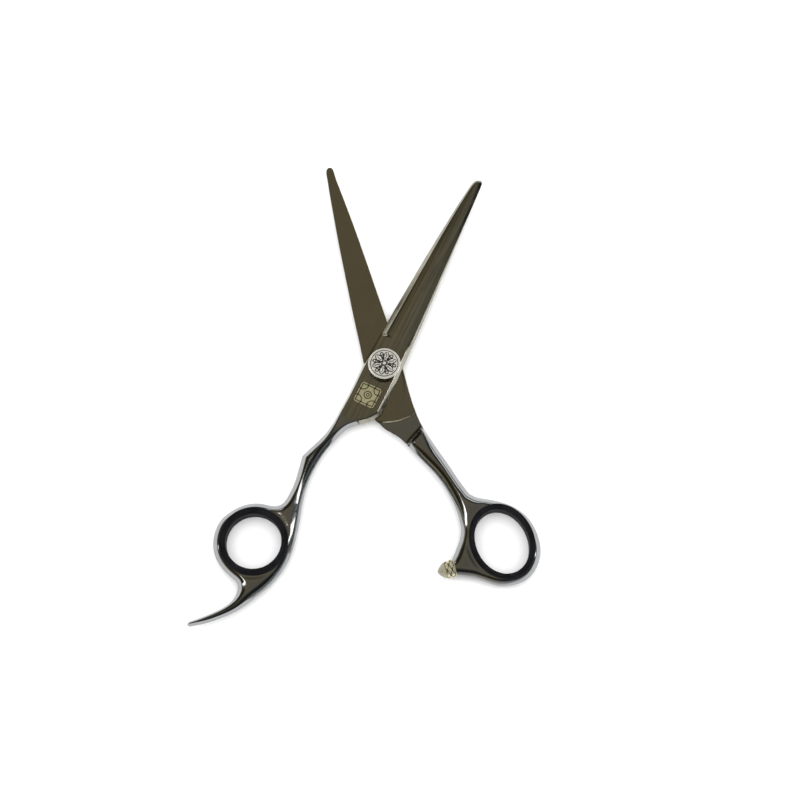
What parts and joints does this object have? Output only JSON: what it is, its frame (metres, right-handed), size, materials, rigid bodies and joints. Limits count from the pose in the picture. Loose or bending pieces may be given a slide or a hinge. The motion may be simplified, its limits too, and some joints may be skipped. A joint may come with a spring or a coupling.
{
  "type": "hair cutting shears",
  "caption": "Half-open hair cutting shears with convex blades, a click tension dial, lined finger rings, a curved tang and a bumper.",
  "frame": {"origin": "centre of the pivot bolt head's rear face, on the table, on the hinge axis", "axes": "+Z along the hinge axis, up from the table to the tension dial; +Y bisects the two blades at rest, towards the tips; +X towards the thumb ring"},
  "size_m": [0.1115, 0.1679, 0.008],
  "materials": {
    "blade_steel": "fine satin, mirror polished on the outer convex faces",
    "handle_steel": "mirror polished",
    "insert_rubber": "smooth matt",
    "gilt_brass": "antique gold plate",
    "nylon": "moulded",
    "bolt_steel": "turned and polished",
    "spring_steel": "bright",
    "dial_steel": "polished, relief darkened in the grooves",
    "bumper_polymer": "smooth"
  },
  "bodies": {
    "finger_half": {"finger_blade": "blade_steel", "finger_handle": "handle_steel", "finger_ring_insert": "insert_rubber", "badge_plate": "gilt_brass", "pivot_bush": "nylon"},
    "thumb_half": {"thumb_blade": "blade_steel", "thumb_handle": "handle_steel", "thumb_ring_insert": "insert_rubber", "bumper_stud": "bolt_steel", "bumper_collar": "gilt_brass", "bumper_pad": "bumper_polymer", "pivot_bolt": "bolt_steel", "thrust_washer": "nylon", "friction_washer": "bolt_steel", "wave_spring": "spring_steel"},
    "tension_plate": {"click_plate": "spring_steel"},
    "tension_dial": {"dial_nut": "dial_steel", "dial_cap": "dial_steel", "click_balls": "spring_steel", "click_springs": "spring_steel"}
  },
  "joints": [
    {"name": "blade_pivot", "type": "hinge", "parent": "finger_half", "child": "thumb_half", "pos_m": [0, 0, 0], "axis": [0, 0, 1], "range_deg": [-38.8, 100]},
    {"name": "tension_travel", "type": "slide", "parent": "thumb_half", "child": "tension_plate", "axis": [0, 0, 1], "range_m": [-0.00025, 0.00025], "deforming": ["wave_spring"]},
    {"name": "dial_turn", "type": "hinge", "parent": "tension_plate", "child": "tension_dial", "pos_m": [0, 0, 0.0066], "axis": [0, 0, 1], "range_deg": [-180, 180]}
  ],
  "couplings": [
    {"joint": "dial_turn", "follows": "tension_travel", "rad_per_m": 12566}
  ]
}
